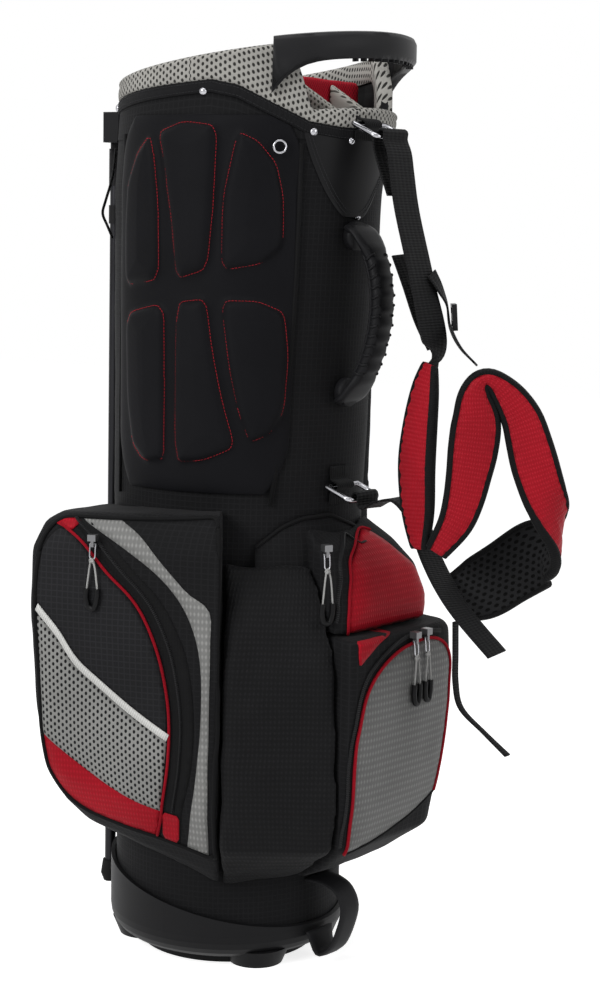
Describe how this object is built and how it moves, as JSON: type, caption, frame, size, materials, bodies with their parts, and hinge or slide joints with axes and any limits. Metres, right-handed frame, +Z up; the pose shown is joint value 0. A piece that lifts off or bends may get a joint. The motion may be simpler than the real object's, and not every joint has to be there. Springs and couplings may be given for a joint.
{
  "type": "golf stand bag",
  "caption": "Upright golf bag with a divided collar, arch handle, padded pockets, paired shoulder straps and a two-leg stand worked by a plate under its base cup.",
  "frame": {"origin": "on the floor, on the tube's vertical axis, at the underside of the base's ring rib", "axes": "+Z up, +Y towards the shoulder straps, -Y towards the legs, +X towards the hip pad"},
  "size_m": [0.3611, 0.4999, 0.883],
  "materials": {
    "black_fabric": "ripstop weave, matt",
    "side_fabric": "smooth nylon, satin",
    "pad_fabric": "neoprene-faced foam, matt",
    "grey_fabric": "honeycomb weave, matt",
    "red_fabric": "ripstop weave, satin",
    "mesh_fabric": "padded air mesh, matt",
    "lining_grey": "padded divider cover, matt",
    "lining_red": "padded divider cover, matt",
    "divider_sheet": "thin nylon, matt",
    "webbing": "woven webbing, matt",
    "elastic": "woven elastic, matt",
    "cord": "braided cord with a rubber end",
    "base_plastic": "moulded, matt",
    "collar_plastic": "moulded, satin",
    "handle_plastic": "moulded, satin",
    "buckle_plastic": "moulded, gloss",
    "grip_rubber": "soft grip, matt",
    "foot_rubber": "matt",
    "chrome": "polished",
    "leg_metal": "black anodised",
    "link_steel": "zinc plated",
    "stay_rod": "fibreglass rod",
    "zip_metal": "dark grey"
  },
  "bodies": {
    "bag": {"base_cup": "base_plastic", "base_handle": "webbing", "bag_tube": "black_fabric", "stays": "stay_rod", "collar_ring": "collar_plastic", "collar_band": "webbing", "mesh_cuff": "mesh_fabric", "arch_handle": "handle_plastic", "front_bar": "lining_red", "rear_bar": "lining_grey", "rail_left": "lining_grey", "rail_right": "lining_grey", "mid_bar": "lining_grey", "leg_side_bar": "lining_grey", "front_sheet": "divider_sheet", "rear_sheet": "divider_sheet", "sheet_left": "divider_sheet", "sheet_right": "divider_sheet", "mid_sheet": "divider_sheet", "leg_side_sheet": "divider_sheet", "hip_pad": "pad_fabric", "apparel_pocket": "grey_fabric", "side_pocket": "side_fabric", "ball_pocket": "grey_fabric", "accessory_pocket": "red_fabric", "garment_pocket": "black_fabric", "elastic_band": "elastic", "spine_patch": "black_fabric", "spine_grip": "grip_rubber", "ring_tabs": "webbing", "shoulder_pad_left": "red_fabric", "shoulder_pad_right": "red_fabric", "upper_webbing": "webbing", "lower_webbing": "webbing", "pad_straps": "webbing", "strap_buckle": "buckle_plastic", "ball_strap": "webbing", "rivets": "chrome", "eyelet": "chrome", "leg_bracket": "collar_plastic", "rod_guides": "collar_plastic", "hinge_pin": "link_steel", "zip_sliders": "zip_metal"},
    "leg_left": {"leg_left": "leg_metal", "knuckle_left": "collar_plastic", "leg_foot_left": "foot_rubber"},
    "leg_right": {"leg_right": "leg_metal", "knuckle_right": "collar_plastic", "leg_foot_right": "foot_rubber"},
    "rod": {"push_rod": "link_steel", "crosshead": "collar_plastic"},
    "link_left": {"link_left": "link_steel"},
    "link_right": {"link_right": "link_steel"},
    "foot_plate": {"foot_plate": "base_plastic"},
    "upper_ring": {"upper_ring": "chrome"},
    "lower_ring": {"lower_ring": "chrome"},
    "apparel_pull": {"apparel_pull": "cord"},
    "ball_pull_left": {"ball_pull_left": "cord"},
    "ball_pull_right": {"ball_pull_right": "cord"},
    "accessory_pull": {"accessory_pull": "cord"}
  },
  "joints": [
    {"name": "leg_left_swing", "type": "hinge", "parent": "bag", "child": "leg_left", "pos_m": [-0.025, -0.1235, 0.795], "axis": [-0.866, 0.5, 0], "range_deg": [0, 28], "stiffness_Nm_per_rad": 0.5, "springref_deg": -17.19},
    {"name": "leg_right_swing", "type": "hinge", "parent": "bag", "child": "leg_right", "pos_m": [0.025, -0.1235, 0.795], "axis": [-0.866, -0.5, 0], "range_deg": [0, 28]},
    {"name": "rod_slide", "type": "slide", "parent": "bag", "child": "rod", "axis": [0, 0, 1], "range_m": [0, 0.016]},
    {"name": "link_left_turn", "type": "hinge", "parent": "leg_left", "child": "link_left", "pos_m": [-0.02415, -0.12446, 0.71501], "axis": [-0.866, 0.5, 0], "range_deg": [-48, 0]},
    {"name": "link_right_turn", "type": "hinge", "parent": "leg_right", "child": "link_right", "pos_m": [0.02415, -0.12446, 0.71501], "axis": [-0.866, -0.5, 0], "range_deg": [-48, 0]},
    {"name": "foot_plate_tilt", "type": "hinge", "parent": "bag", "child": "foot_plate", "pos_m": [0, -0.006, 0.006], "axis": [-1, 0, 0], "range_deg": [0, 7.5]},
    {"name": "upper_ring_swing", "type": "hinge", "parent": "bag", "child": "upper_ring", "pos_m": [0.02795, 0.15849, 0.8], "axis": [0.9848, -0.1736, 0], "range_deg": [-5, 5]},
    {"name": "lower_ring_swing", "type": "hinge", "parent": "bag", "child": "lower_ring", "pos_m": [0.02385, 0.13526, 0.468], "axis": [0.9848, -0.1736, 0], "range_deg": [-5, 5]},
    {"name": "apparel_pull_swing", "type": "hinge", "parent": "bag", "child": "apparel_pull", "pos_m": [0.18, -0.038, 0.416], "axis": [0.2079, -0.9781, 0], "range_deg": [0, 70]},
    {"name": "ball_pull_left_swing", "type": "hinge", "parent": "bag", "child": "ball_pull_left", "pos_m": [-0.00953, 0.21086, 0.326], "axis": [0.9848, -0.1736, 0], "range_deg": [0, 70]},
    {"name": "ball_pull_right_swing", "type": "hinge", "parent": "bag", "child": "ball_pull_right", "pos_m": [0.00721, 0.20791, 0.325], "axis": [0.9848, -0.1736, 0], "range_deg": [0, 35]},
    {"name": "accessory_pull_swing", "type": "hinge", "parent": "bag", "child": "accessory_pull", "pos_m": [0.088, 0.156, 0.413], "axis": [0.848, -0.5299, 0], "range_deg": [0, 70]}
  ],
  "couplings": [
    {"joint": "leg_right_swing", "follows": "leg_left_swing", "ratio": 1},
    {"joint": "rod_slide", "follows": "leg_left_swing", "m_per_rad": 0.032737},
    {"joint": "link_left_turn", "follows": "leg_left_swing", "ratio": -1.7141},
    {"joint": "link_right_turn", "follows": "leg_left_swing", "ratio": -1.7141},
    {"joint": "foot_plate_tilt", "follows": "leg_left_swing", "ratio": 0.26785}
  ]
}
